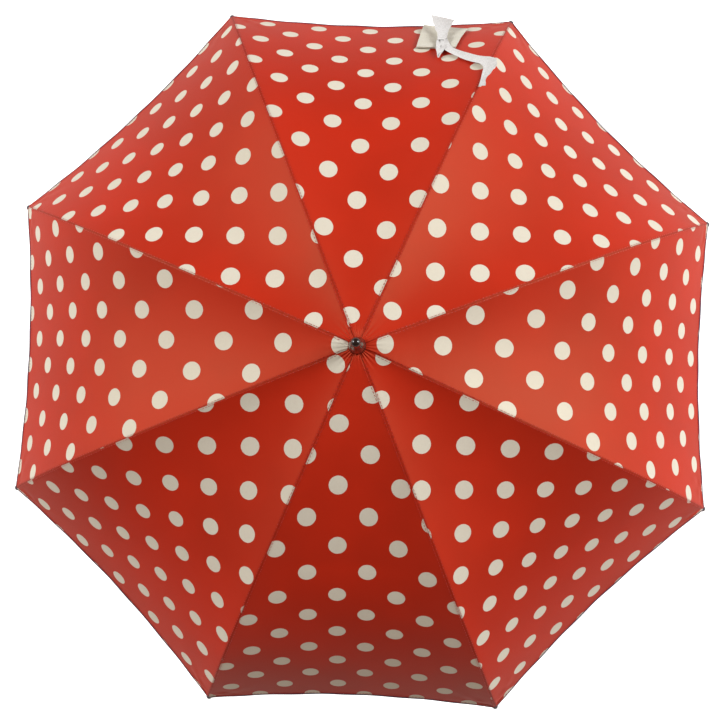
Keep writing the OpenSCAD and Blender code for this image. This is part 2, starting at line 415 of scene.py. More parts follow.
def attribute(name, out="Fac"):
    return Shade.node("ShaderNodeAttribute", out, props={"attribute_name": name})


def split(v):
    n = Shade.tree.nodes.new("ShaderNodeSeparateXYZ")
    Shade.put(n.inputs[0], v)
    return Shade(n.outputs[0]), Shade(n.outputs[1])


RED, CREAM, NAVY = (0.45, 0.015, 0.004), (0.70, 0.65, 0.54), (0.03, 0.018, 0.06)


def weave(at, pitch):
    """Height of a plain weave with that thread pitch in metres."""
    x, y = split(at)
    k = 2 * math.pi / (pitch * 2)
    return (x * k).sin() * (y * k).sin() * 0.5 + 0.5


def cloth_look():
    p = settings()
    e, f = split(Shade.node("ShaderNodeUVMap", "UV", props={"uv_map": "dots"}))
    de, df = e - e.round(), f - f.round()
    away = ((de * de + df * df) * 2.0).root() * p.pitch
    flat = Shade.node("ShaderNodeUVMap", "UV", props={"uv_map": "cloth"})
    ragged = (noise(900.0, 1.0, at=flat) - 0.5) * 0.35
    dot = 1.0 - (away + ragged).step(p.dot_r - 0.22, p.dot_r + 0.22)
    edge, inside = attribute("edge"), attribute("inside")
    cloud = noise(9.0, 3.0)
    fine = noise(260.0, 2.0, at=flat)
    red = mix(cloud.step(0.35, 0.65), RED, tuple(c * 1.13 for c in RED))
    cream = mix(cloud.step(0.3, 0.7), CREAM, tuple(c * 0.95 for c in CREAM))
    colour = mix(dot, red, cream)
    colour = mix(inside * 0.45, colour, mix(dot, (0.30, 0.022, 0.009), (0.47, 0.33, 0.25)))
    # painted shade: the cloth is darkened strongly within about 1 mm of each seam and faintly out to 5 mm,
    # standing in for the shade in the seam's crease
    painted_seam_shade = (1.0 - edge.step(0.0, 1.1)) * 0.5 + (1.0 - edge.step(0.0, 5.0)) * 0.1
    colour = mix(painted_seam_shade, colour, (0.2, 0.008, 0.003))
    colour = mix((fine - 0.5).abs() * 0.16, colour, (0.2, 0.02, 0.01))
    height = weave(flat, 0.00042) * 0.5 + fine * 0.5 + dot * 0.25
    return {"Base Color": colour, "Roughness": 0.54 + cloud * 0.08 - dot * 0.04, "Specular IOR Level": 0.34,
            "Specular Tint": (1, 0.8, 0.4, 1), "Bump": (height, 0.35, 0.00012)}


def woven(colour, other, rough=0.75, specular=0.3):
    def build():
        at = Shade.node("ShaderNodeTexCoord", "Object")
        grain = noise(700.0, 2.0, at=at)
        return {"Base Color": mix(grain.step(0.3, 0.7), colour, other), "Roughness": rough - grain * 0.1,
                "Sheen Weight": 0.25, "Specular IOR Level": specular,
                "Bump": (noise(2600.0, 1.0, at=at, stretch=(1.0, 0.35, 1.0)) * 0.6 + grain * 0.4,
                         0.5, 0.0001)}
    return build


def moulded(colour, rough, coat=0.0, speck=0.05):
    def build():
        cloud, fine = noise(60.0, 3.0), noise(1500.0, 2.0)
        scuff = noise(120.0, 5.0, 0.7, stretch=(1.0, 1.0, 0.15)).step(0.58, 0.72)
        paler = tuple(min(1, c * 1.35 + 0.002) for c in colour)
        return {"Base Color": mix(cloud.step(0.3, 0.7), colour, paler),
                "Roughness": rough + cloud * 0.08 + scuff * 0.12, "Coat Weight": coat, "Coat Roughness": 0.08,
                "Bump": (fine * 0.6 + cloud * 0.4, speck, 0.0002)}
    return build


def steel(colour, rough, stretch=(1.0, 1.0, 1.0), spots=0.0):
    def build():
        drawn = noise(1400.0, 3.0, stretch=stretch)
        cloud = noise(90.0, 4.0)
        tarnish = cloud.step(0.52, 0.75) * spots
        return {"Base Color": mix(tarnish, mix(drawn.step(0.3, 0.7), colour, tuple(c * 0.86 for c in colour)),
                                  tuple(c * 0.45 for c in colour)),
                "Metallic": 1.0 - tarnish * 0.3, "Roughness": rough + drawn * 0.1 + tarnish * 0.25,
                "Bump": (drawn, 0.12, 0.0001)}
    return build


LOOKS = {
    "cloth": cloth_look,
    "tape": woven(NAVY, (0.05, 0.032, 0.09)),
    "thread": woven((0.38, 0.014, 0.006), (0.46, 0.022, 0.01), specular=0.15),
    "card": woven((0.56, 0.53, 0.43), (0.64, 0.61, 0.51), rough=0.8),
    "ribbon": woven((0.60, 0.585, 0.57), (0.72, 0.71, 0.70), rough=0.6, specular=0.25),
    "ferrule": moulded((0.014, 0.006, 0.005), 0.24, 0.3),
    "handle": moulded((0.030, 0.012, 0.009), 0.20, 0.5),
    "tip": moulded((0.018, 0.012, 0.02), 0.22, 0.4),
    "nylon": moulded((0.022, 0.022, 0.024), 0.42, 0.0, 0.25),
    "rod": moulded((0.02, 0.02, 0.022), 0.30, 0.1, 0.1),
    "chrome": steel((0.74, 0.75, 0.77), 0.10, (1.0, 1.0, 0.02), 0.15),
    "zinc": steel((0.58, 0.59, 0.61), 0.30, spots=0.5),
    "wire": steel((0.66, 0.66, 0.68), 0.25),
}


def look(name):
    return bpy.data.materials.get("umbrella_" + name) or material("umbrella_" + name, LOOKS[name])


def piece(o, body, slot, *nodes):
    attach(o, body)
    if nodes:
        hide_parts(*nodes)
    return o


def fold_flat(o):
    """Gives the piece its own copy of its mesh."""
    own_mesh(o)


# ---- stitches ---------------------------------------------------------------------------

def stitch_tree():
    """A node group that sets short thread cylinders along the edges it is given."""
    g = bpy.data.node_groups.get("stitches")
    if g:
        return g
    g = bpy.data.node_groups.new("stitches", "GeometryNodeTree")
    face = g.interface
    face.new_socket("Geometry", in_out="INPUT", socket_type="NodeSocketGeometry")
    for name in ("Spacing", "Length", "Radius"):
        face.new_socket(name, in_out="INPUT", socket_type="NodeSocketFloat")
    face.new_socket("Seed", in_out="INPUT", socket_type="NodeSocketInt")
    face.new_socket("Material", in_out="INPUT", socket_type="NodeSocketMaterial")
    face.new_socket("Geometry", in_out="OUTPUT", socket_type="NodeSocketGeometry")

    def add(kind, props=None, **links):
        n = g.nodes.new(kind)
        for k, v in (props or {}).items():
            setattr(n, k, v)
        for k, v in links.items():
            s = n.inputs[k.replace("_", " ")]
            if isinstance(v, bpy.types.NodeSocket):
                g.links.new(v, s)
            else:
                s.default_value = v
        return n
    i = add("NodeGroupInput").outputs
    curve = add("GeometryNodeMeshToCurve", Mesh=i["Geometry"])
    points = add("GeometryNodeCurveToPoints", {"mode": "LENGTH"}, Curve=curve.outputs[0], Length=i["Spacing"])
    jitter = add("FunctionNodeRandomValue", {"data_type": "FLOAT"}, Seed=i["Seed"])
    for s in jitter.inputs:
        if s.name == "Min" and s.type == "VALUE":
            s.default_value = 0.85
        if s.name == "Max" and s.type == "VALUE":
            s.default_value = 1.1
    size = next(s for s in jitter.outputs if s.type == "VALUE" and s.enabled)
    rod = add("GeometryNodeMeshCylinder", Vertices=6, Radius=i["Radius"], Depth=i["Length"])
    turn = add("FunctionNodeAlignRotationToVector", {"axis": "Z"}, Vector=points.outputs["Tangent"])
    put = add("GeometryNodeInstanceOnPoints", Points=points.outputs["Points"], Instance=rod.outputs["Mesh"],
              Rotation=turn.outputs[0], Scale=size)
    real = add("GeometryNodeRealizeInstances", Geometry=put.outputs[0])
    done = add("GeometryNodeSetMaterial", Geometry=real.outputs[0], Material=i["Material"])
    g.links.new(done.outputs[0], add("NodeGroupOutput").inputs[0])
    return g


def stitches(name, lines, panel):
    """Stitches along several lines of points, in metres."""
    p = settings()
    mesh = bpy.data.meshes.new(name)
    verts, edges = [], []
    for line in lines:
        edges += [(len(verts) + k, len(verts) + k + 1) for k in range(len(line) - 1)]
        verts += [tuple(v) for v in line]
    mesh.from_pydata(verts, edges, [])
    o = bpy.data.objects.new(name, mesh)
    bpy.context.collection.objects.link(o)
    m = o.modifiers.new("stitches", "NODES")
    m.node_group = stitch_tree()
    values = {"Spacing": p.stitch * 1.35 * MM, "Length": p.stitch * MM, "Radius": 0.17 * MM, "Seed": panel,
              "Material": look("thread")}
    for s in m.node_group.interface.items_tree:
        if s.item_type == "SOCKET" and s.in_out == "INPUT" and s.name in values:
            m[s.identifier] = values[s.name]
    plain(o)
    o.data.polygons.foreach_set("use_smooth", [True] * len(o.data.polygons))
    return o


# ---- the cloth --------------------------------------------------------------------------

def columns(width):
    """Places across a panel of that half width, close together at its seams."""
    near = np.array([0, 0.35, 0.8, 1.5, 2.6, 4.2]) * min(1, width / 14)
    half = np.concatenate([near, np.linspace(near[-1], width, 15)[1:]])
    u = 1 - half / width
    return np.concatenate([-u, u[-2::-1]])


def cloth_piece(c, name, panel, rows_at):
    """One stretch of a panel as a closed shell with its own flat coordinates; a row gives s at each u."""
    p = c.p
    n = len(rows_at)
    s, u = [], []
    for row in rows_at:
        guess = row(np.zeros(1))[0]
        cols = columns(float(c.rib(guess, 2)[0] * math.sin(HALF)))
        u.append(cols)
        s.append(row(cols))
    s, u = np.array(s), np.array(u)
    w = s.shape[1]
    outer, normal = c.cloth(s, u, p.cloth_t, panel), c.normal(s, u, panel)
    x = c.rib(s, 2)[0]
    edge = (1 - np.abs(u)) * x * math.sin(HALF)
    seam_tape = 0.35 * (1 - np.clip((edge - 5) / 0.6, 0, 1)) * np.clip(edge / 0.6, 0, 1)
    hem_fold = 0.3 * (1 - np.clip((c.hem(u) - s - 6) / 0.6, 0, 1))
    inner = outer - normal * ((p.cloth_t + seam_tape + hem_fold) * MM)[..., None]
    verts = np.concatenate([outer.reshape(-1, 3), inner.reshape(-1, 3)])
    m = n * w
    grid = np.arange(m).reshape(n, w)
    a, b, d, e = grid[:-1, :-1], grid[:-1, 1:], grid[1:, 1:], grid[1:, :-1]
    top = np.stack([a, e, d, b], -1).reshape(-1, 4)
    under = np.stack([a, b, d, e], -1).reshape(-1, 4) + m
    loop = np.concatenate([grid[0, :], grid[1:, -1], grid[-1, -2::-1], grid[-2:0:-1, 0]])
    after = np.roll(loop, -1)
    rim = np.stack([loop, after, after + m, loop + m], -1)
    faces = np.concatenate([top, under, rim])
    o = make(name, [(verts, faces.tolist(), 0)], [look("cloth")], 180)
    # flat coordinates of the print and of the weave
    flat_s, flat_t = c.flat(s), u * x * math.sin(HALF)
    s0, t0, spin = DOTS[panel]
    spin = math.radians(spin)
    ds, dt = flat_s - s0, flat_t - t0
    along, over = ds * math.cos(spin) + dt * math.sin(spin), dt * math.cos(spin) - ds * math.sin(spin)
    dots = np.stack([(along + over) / 2 / p.pitch, (along - over) / 2 / p.pitch], -1)
    cloth = np.stack([flat_t, flat_s], -1) * MM
    index = np.zeros(len(o.data.loops), int)
    o.data.loops.foreach_get("vertex_index", index)
    for label, values in (("dots", dots), ("cloth", cloth)):
        uv = o.data.uv_layers.new(name=label)
        uv.data.foreach_set("uv", values.reshape(-1, 2)[index % m].ravel())
    for label, values in (("edge", np.tile(edge.ravel(), 2)), ("inside", np.repeat([0.0, 1.0], m))):
        o.data.attributes.new(label, "FLOAT", "POINT").data.foreach_set("value", values)
    # normals that run on smoothly into the next stretch of the same panel
    flip = np.concatenate([normal.reshape(-1, 3), -normal.reshape(-1, 3)])[index]
    side = np.zeros(len(o.data.polygons) * 3)
    o.data.polygons.foreach_get("normal", side)
    of = np.repeat(np.arange(len(faces)), 4)
    flip[of >= len(top) + len(under)] = side.reshape(-1, 3)[of[of >= len(top) + len(under)]]
    o.data.normals_split_custom_set(flip.tolist())
    return o


def hem_tape(c, panel):
    """The binding folded over the hem: a thin strip round the cloth's edge."""
    p = c.p
    u = np.linspace(-1, 1, 81)
    hem = c.hem(u)
    w = 2.6
    ring_of = [(-w, 0.16), (-w + 0.12, 0.30), (-0.4, 0.33), (0.25, 0.2), (0.38, -0.15), (0.25, -0.5),
               (-0.4, -0.98), (-w + 0.12, -0.95), (-w, -0.80), (-0.1, -0.55), (0.02, -0.15), (-0.1, 0.03)]
    verts = []
    for ds, n in ring_of:
        verts.append(c.cloth(hem + ds, u, p.cloth_t + n, panel))
    m, k = len(u), len(ring_of)
    v = np.array(verts).transpose(1, 0, 2).reshape(-1, 3)
    faces = [[i * k + j, (i + 1) * k + j, (i + 1) * k + (j + 1) % k, i * k + (j + 1) % k]
             for i in range(m - 1) for j in range(k)]
    faces += [list(range(k)), [(m - 1) * k + j for j in range(k)][::-1]]
    return make(f"hem_binding_{panel}", [(v, faces, 0)], [look("tape")], 50)


class UMBRELLA_OT_canopy(bpy.types.Operator):
    """Eight panels of printed cloth with their hem binding and stitches"""
    bl_idname = "umbrella.canopy"
    bl_label = "Canopy"

    def execute(self, context):
        p = settings()
        c = Canopy(p)
        start, middle = CLOTH_START, p.inner_len
        inner_rows = [lambda u, t=t: start + (middle - start) * t + 0 * u
                      for t in np.linspace(0, 1, 48) ** 1.12]
        outer_rows = [lambda u, t=t: middle + (c.hem(u) - middle) * t
                      for t in 1 - (1 - np.linspace(0, 1, 60)) ** 1.15]
        for k in RIBS:
            top = cloth_piece(c, f"cloth_top_{k}", k, inner_rows)
            low = cloth_piece(c, f"cloth_low_{k}", k, outer_rows)
            tape = hem_tape(c, k)
            s1, s2 = np.linspace(6, middle - 1, 90), np.linspace(middle + 1, c.length - 8, 110)
            lines = []
            for s in (s1, s2):
                x = c.rib(s, 2)[0] * math.sin(HALF)
                lines.append([c.cloth(s, side * (1 - np.minimum(1.3, x * 0.3) / x), p.cloth_t + 0.06, k)
                              for side in (-1, 1)])
            u = np.linspace(-0.975, 0.975, 120)
            lines[1].append(c.cloth(c.hem(u) - 5.0, u, p.cloth_t + 0.06, k))
            sewn = stitches(f"stitches_top_{k}", lines[0], k), stitches(f"stitches_low_{k}", lines[1], k)
            piece(top, f"cloth_{k}", "dotted_cloth", f"gore_{k}")
            piece(sewn[0], f"cloth_{k}", "dotted_cloth")
            piece(low, f"hem_{k}", "dotted_cloth")
            piece(sewn[1], f"hem_{k}", "dotted_cloth")
            piece(tape, f"hem_{k}", "edge_tape", f"hem_tape_{k}")
            for o in (top, low, tape, *sewn):
                fold_flat(o)
        return {"FINISHED"}


# ---- the folding frame ------------------------------------------------------------------

def rib_mesh(c, k):
    p = c.p
    s = np.linspace(8, p.inner_len - 3.5, 50)
    x, z = c.rib(s)
    w, t, r = 1.2, 0.5, 0.25
    channel = [(-w, -w), (-w, -w + t), (w - t - 0.1, -w + t), (w - t, -w + t + 0.1), (w - t, w - t - 0.1),
               (w - t - 0.1, w - t), (-w, w - t), (-w, w), (w - r, w), (w, w - r), (w, -w + r), (w - r, -w)]
    side = np.tile([0.0, 1.0, 0.0], (50, 1))
    parts = [sweep(np.stack([x, 0 * x, z], -1), -side, [(-a, b) for a, b in channel])]
    s = np.linspace(0.9, 9, 6)
    x, z = c.rib(s)
    neck = [(-0.9, -0.95), (-0.9, 0.95), (0.9, 0.95), (0.9, -0.95)]
    parts.append(sweep(np.stack([x, 0 * x, z], -1), -side[:6], [(-a, b) for a, b in neck]))
    parts.append(turned(pin_part(1.6, 0.95, 28, 0.6), p.pivot_r, 0, p.crown_z, lie=True))
    ear = [(-14, -2.6), (-13.4, -3.1), (-5.6, -2.9), (-1.9, -6.6), (-1.2, -6.9), (1.2, -6.9), (1.9, -6.5),
           (2.5, -5.6), (2.2, 1.0), (1.6, 1.5), (-0.5, 1.6), (-13.3, 1.2), (-14, 0.7)]
    for y in (-2.0, 1.15):
        v, f = prism(ear, [], y, y + 0.85)
        v = v[:, [0, 2, 1]]
        parts.append(turned((v, [g[::-1] for g in f]), c.knee[0], 0, c.knee[1], tilt=p.slope_mid))
    v, f = prism([(-13.8, -1.25), (-7.2, -1.25), (-7.2, 1.25), (-13.8, 1.25)], [], -2.5, -1.25)
    parts.append(turned((v, f), c.knee[0], 0, c.knee[1], tilt=p.slope_mid))
    for at in (c.knee, c.hang):
        parts.append(turned(pin_part(0.75, 2.0, 16), at[0], 0, at[1], lie=True))
        for y in (-2.15, 2.15):
            parts.append(turned(pin_part(1.15, 0.22, 16), at[0], y, at[1], lie=True))
    return make(f"inner_rib_{k}", [(*turned(q, spin=rib_turn(k)), 0) for q in parts], [look("zinc")])


def rod_mesh(c, k):
    p = c.p
    s = np.linspace(p.inner_len + 1.2, c.length - 2, 60)
    x, z = c.rib(s)
    side = np.tile([0.0, -1.0, 0.0], (60, 1))
    parts = [(*turned(sweep(np.stack([x, 0 * x, z], -1), side, ring(1.1, 12)), spin=rib_turn(k)), 0)]
    s = np.linspace(p.inner_len + 1.0, p.inner_len + 14, 8)
    x, z = c.rib(s)
    sleeve = sweep(np.stack([x, 0 * x, z], -1), side[:8], ring(1.14, 12))
    parts.append((*turned(sleeve, spin=rib_turn(k)), 1))
    eye = turned(pin_part(1.75, 1.0, 24, 0.83), c.knee[0], 0, c.knee[1], lie=True)
    parts.append((*turned(eye, spin=rib_turn(k)), 1))
    return make(f"outer_rod_{k}", parts, [look("rod"), look("zinc")])


def tip_mesh(c, k):
    x, z = c.rib(c.length)
    profile = [(1.4, -12), (1.75, -12), (1.9, -11.6), (1.9, -9.2), (1.6, -8.9), (1.6, -8.3), (1.9, -8.0),
               (1.9, 0.2), (2.6, 0.8), (3.0, 2.0), (3.0, 5.0)]
    profile += [(3.0 * math.cos(a), 5 + 3.0 * math.sin(a)) for a in np.linspace(0.2, math.pi / 2, 7)[:-1]]
    profile += [(0, 8.0), (0, 0.5), (1.4, 0.5)]
    cap = lathe(profile, 24, closed=True)
    cap = turned(cap, float(x), 0, float(z), tilt=90 + c.p.slope_out, spin=rib_turn(k))
    thread = []
    for h in (-8.85, -8.6, -8.35):
        thread.append(turned(lathe([(1.62 + 0.16 * math.cos(a), h + 0.13 * math.sin(a))
                                    for a in np.linspace(0, math.tau, 8)[:-1]], 20, closed=True),
                             float(x), 0, float(z), tilt=90 + c.p.slope_out, spin=rib_turn(k)))
    return make(f"rib_tip_{k}", [(*cap, 0)] + [(*t, 1) for t in thread], [look("tip"), look("thread")])


def stretcher_mesh(c, k):
    p = c.p
    d = c.hang - np.array([p.pivot_r, c.runner_z])
    link = float(np.hypot(*d))
    slope = math.degrees(math.atan2(d[1], d[0]))
    t = 0.45
    channel = [(-1.0, -1.1), (-1.0, 1.1), (-1.0 + t, 1.1), (-1.0 + t, -1.1 + t),
               (1.0 - t, -1.1 + t), (1.0 - t, 1.1), (1.0, 1.1), (1.0, -1.1)]
    xs = np.array([7.5, 9, link - 9, link - 7.5])
    squeeze = np.array([0.95, 1, 1, 0.95])
    section = [(b * squeeze, a * squeeze) for a, b in channel[::-1]]
    bar = sweep(np.stack([xs, 0 * xs, 0 * xs], -1), np.tile([0.0, 1.0, 0.0], (4, 1)), section)
    parts = [bar]
    for a, b in ((1.2, 9.5), (link - 9.5, link - 1.4)):
        parts.append(prism([(a, -0.9), (b, -0.9), (b, 0.9), (a, 0.9)], [], -0.95, 0.95))
    parts.append(turned(pin_part(1.6, 0.98, 24), lie=True))
    parts.append(turned(pin_part(0.8, 1.7, 16), lie=True))
    parts.append(turned(pin_part(1.75, 1.0, 24, 0.83), link, 0, 0, lie=True))
    parts = [turned(turned(q, tilt=-slope), p.pivot_r, 0, c.runner_z, spin=rib_turn(k)) for q in parts]
    return make(f"stretcher_arm_{k}", [(*q, 0) for q in parts], [look("zinc")])


class UMBRELLA_OT_ribs(bpy.types.Operator):
    """Steel inner ribs, flexible outer rods, tips and stretchers"""
    bl_idname = "umbrella.ribs"
    bl_label = "Ribs"

    def execute(self, context):
        c = Canopy(settings())
        for k in RIBS:
            piece(rib_mesh(c, k), f"arm_{k}", "rib_steel", f"rib_{k}")
            piece(rod_mesh(c, k), f"outer_{k}", "glass_fibre", f"rod_{k}")
            piece(tip_mesh(c, k), f"outer_{k}", "tip_plastic", f"tip_{k}")
            piece(stretcher_mesh(c, k), f"strut_{k}", "rib_steel", f"stretcher_{k}")
        return {"FINISHED"}


def slotted(radius, bore, slots, key=None):
    """Outline of a ring of that radius with open slots at the ribs, and its bore with an optional keyway."""
    outer = []
    inner_r, width = slots
    for k in RIBS:
        a0 = math.radians(rib_turn(k))
        half = math.asin(width / 2 / radius)
        nxt = a0 + math.pi / 4
        for x, y in ((radius * math.cos(half), -width / 2), (inner_r, -width / 2), (inner_r, width / 2)):
            outer.append((x * math.cos(a0) - y * math.sin(a0), x * math.sin(a0) + y * math.cos(a0)))
        outer += [(radius * math.cos(a), radius * math.sin(a))
                  for a in np.linspace(a0 + half, nxt - half, 10)[:-1]]
    if key:
        reach, w = key
        h = math.asin(w / 2 / bore)
        hole = [(reach, -w / 2), (reach, w / 2)]
        hole += [(bore * math.cos(a), bore * math.sin(a)) for a in np.linspace(h, 2 * math.pi - h, 30)]
    else:
        hole = ring(bore, 32)
    return outer, hole


class UMBRELLA_OT_crown(bpy.types.Operator):
    """The slotted crown, the wire ring that the ribs turn on, and the ferrule"""
    bl_idname = "umbrella.crown"
    bl_label = "Crown and ferrule"

    def execute(self, context):
        p = settings()
        z = p.crown_z
        outer, hole = slotted(12.1, 4.05, (7.9, 2.3))
        body = make("crown_notch", [(*prism(outer, [hole], z - 5, z + 1.6), 0)], [look("nylon")])
        body = soften(body, 0.25)
        piece(body, "stick", "black_plastic", "crown")
        wire = lathe([(p.pivot_r + 0.5 * math.cos(a), z + 0.5 * math.sin(a))
                      for a in np.linspace(0, math.tau, 13)[:-1]], 96, closed=True)
        piece(make("crown_ring", [(*wire, 0)], [look("wire")]), "stick", "steel_wire", "crown_wire")
        b = z + 5.6
        profile = [(4.05, 0.0), (6.6, 0.0), (7.0, 0.5), (7.0, 2.1), (6.65, 2.7), (6.15, 12), (5.6, 20),
                   (4.6, 29), (3.75, 31.4), (3.6, 32.2), (3.6, 50)]
        profile += [(3.6 * math.cos(a), 50 + 3.6 * math.sin(a))
                    for a in np.linspace(0.08, math.pi / 2, 12)[:-1]]
        profile += [(0, 53.6), (0, 19), (4.05, 19)]
        cap = lathe([(r, h + b) for r, h in profile], 64, closed=True)
        o = make("ferrule_cap", [(*cap, 0)], [look("ferrule")])
        piece(o, "stick", "ferrule_plastic", "ferrule")
        return {"FINISHED"}


def catch_mesh(name, z):
    outline = [(-0.8, 1), (4, 1), (5.6, 9.6), (6, 11), (6, 12.2), (5.6, 12.6), (-0.8, 12.6)]
    v, f = prism(outline, [], -1.3, 1.3)
    v = v[:, [0, 2, 1]] + np.array([0, 0, z]) * MM
    return soften(make(name, [(v, [g[::-1] for g in f], 0)], [look("wire")]), 0.2)


class UMBRELLA_OT_shaft(bpy.types.Operator):
    """The plated tube with its two spring catches, and the runner"""
    bl_idname = "umbrella.shaft"
    bl_label = "Shaft and runner"

    def execute(self, context):
        p = settings()
        c = Canopy(p)
        z = c.runner_z
        link = float(np.hypot(*(c.hang - np.array([p.pivot_r, p.crown_z]))))
        closed = p.crown_z - 2 * link * math.cos(math.radians(2.5))
        heights = np.linspace(-19.7, p.crown_z + 23.7, 60)
        tube = [(3.3, -20), (3.8, -20)] + [(4, h) for h in heights]
        tube += [(3.8, p.crown_z + 24), (3.3, p.crown_z + 24)]
        tube = make("shaft_tube", [(*lathe(tube, 48, closed=True), 0)], [look("chrome")])
        cutter = make("cutter", [(*prism([(2, -1.6), (8, -1.6), (8, 1.6), (2, 1.6)], [], h, h + 14), 0)
                                 for h in (z - 56, closed - 56)], [look("chrome")])
        cut = tube.modifiers.new("windows", "BOOLEAN")
        cut.object, cut.solver = cutter, "EXACT"
        plain(tube)
        bpy.data.objects.remove(cutter)
        tube.data.set_sharp_from_angle(angle=math.radians(30))
        piece(tube, "stick", "chrome_tube", "shaft")
        piece(catch_mesh("upper_catch", z - 55.8), "top_catch", "steel_wire", "top_catch")
        piece(catch_mesh("lower_catch", closed - 55.8), "bottom_catch", "steel_wire", "bottom_catch")
        outer, hole = slotted(13, 4.15, (7.9, 3.8), (6.4, 3.8))
        collar = prism(outer, [hole], z - 5, z + 3)
        parts = [(*collar, 0)]
        for r, low, high in ((7.6, z - 37, z - 5.01), (8.1, z - 42, z - 37.01)):
            parts.append((*prism(ring(r, 48), [hole], low, high), 0))
        o = soften(make("runner_sleeve", parts, [look("nylon")]), 0.3)
        piece(o, "runner", "black_plastic", "runner")
        return {"FINISHED"}


class UMBRELLA_OT_handle(bpy.types.Operator):
    """The curved handle"""
    bl_idname = "umbrella.handle"
    bl_label = "Handle"

    def execute(self, context):
        r, bend, low, top = 9.5, 24.0, -38.0, 46.0
        line = [(0, h) for h in np.linspace(top - 3, low + 2, 26)]
        line += [(bend - bend * math.cos(a), low - bend * math.sin(a)) for a in np.linspace(0, math.pi, 40)]
        line += [(2 * bend, low + h) for h in np.linspace(2, 14, 6)]
        path = np.array([(x, 0, z) for x, z in line])
        n = len(path)
        size = np.full(n, r)
        h = np.array([z for _, z in line[:26]])
        size[:26] -= 0.45 * np.exp(-((h - 34) / 1.2) ** 2) + 0.5 * np.exp(-((h + 4) / 26) ** 2)
        section = [(size * math.cos(a), size * math.sin(a)) for a in np.linspace(0, math.tau, 41)[:-1]]
        v, f = sweep(path, np.tile([0.0, 1.0, 0.0], (n, 1)), section, close=False)
        m = 40
        parts_v, parts_f = [v], list(f)
        def cap(base, rings):
            nonlocal parts_v, parts_f
            prev = base
            count = sum(len(x) for x in parts_v)
            for pts in rings:
                new = list(range(count, count + len(pts)))
                parts_v.append(np.array(pts) * MM)
                count += len(pts)
                if len(pts) == 1:
                    parts_f += [[prev[i], prev[(i + 1) % m], new[0]] for i in range(m)]
                else:
                    parts_f += [[prev[i], prev[(i + 1) % m], new[(i + 1) % m], new[i]] for i in range(m)]
                    prev = new
        last = v[-m:] / MM
        centre = np.array([2 * bend, 0, low + 14])
        dome = []
        for a in np.linspace(0.12, math.pi / 2, 9)[:-1]:
            rise = np.array([0, 0, r * math.sin(a)])
            dome.append([tuple(centre + (q - centre) * math.cos(a) + rise) for q in last])
        cap([n * m - m + i for i in range(m)], dome + [[tuple(centre + np.array([0, 0, r]))]])
        first = v[:m] / MM
        axis = np.array([0, 0, top - 3])
        rise = [(0.985, 1.4), (0.90, 2.6), (0.80, 3.0), (0.46, 3.0), (0.428, 2.7), (0.428, -60), (0, -60)]
        rings = [[tuple(axis + (q - axis) * k + np.array([0, 0, dz])) for q in first] for k, dz in rise[:-1]]
        cap(list(range(m))[::-1], [x[::-1] for x in rings] + [[tuple(axis + np.array([0, 0, -60]))]])
        o = make("handle_grip", [(np.concatenate(parts_v), parts_f, 0)], [look("handle")], 40)
        piece(o, "stick", "handle_plastic", "handle")
        return {"FINISHED"}


# ---- the card and its ribbon ------------------------------------------------------------

def strip(c, panel, line, widths, lift, thick=0.25, seg=9, wave=0.0, skew=0.0):
    """A ribbon along a line of (s, across in mm) on a panel, with a height over the cloth at each point."""
    line, widths, lift = np.array(line, float), np.array(widths, float), np.array(lift, float)
    n = 60
    t = np.linspace(0, len(line) - 1, n)
    def curve(values):
        k = np.arange(len(values))
        fine = np.interp(t, k, values)
        for _ in range(6):
            fine[1:-1] = (fine[:-2] + 2 * fine[1:-1] + fine[2:]) / 4
        return fine
    s, y, w, h = curve(line[:, 0]), curve(line[:, 1]), curve(widths), curve(lift)
    ds, dy = np.gradient(s), np.gradient(y)
    k = np.hypot(ds, dy)
    ns, ny = -dy / k, ds / k
    verts = []
    for side in (0, thick):
        for i in range(n):
            for j in range(seg):
                v = 2 * j / (seg - 1) - 1
                ss, yy = s[i] + ns[i] * v * w[i] / 2, y[i] + ny[i] * v * w[i] / 2
                ss += skew * v * (i / (n - 1)) ** 2
                half = float(c.rib(ss, 2)[0]) * math.sin(HALF)
                up = h[i] + wave * (v * v) + wave * 0.6 * math.sin(i * 0.35 + 2.2 * v) + side
                verts.append(c.cloth(np.array(ss), np.array(yy / half), c.p.cloth_t + up, panel))
    m = n * seg
    grid = np.arange(m).reshape(n, seg)
    a, b, d, e = grid[:-1, :-1], grid[:-1, 1:], grid[1:, 1:], grid[1:, :-1]
    low = np.stack([a, b, d, e], -1).reshape(-1, 4)
    loop = np.concatenate([grid[0, :], grid[1:, -1], grid[-1, -2::-1], grid[-2:0:-1, 0]])
    rim = np.stack([loop, loop + m, np.roll(loop, -1) + m, np.roll(loop, -1)], -1)
    faces = np.concatenate([low[:, ::-1], low + m, rim[:, ::-1]])
    return np.array(verts), faces.tolist()


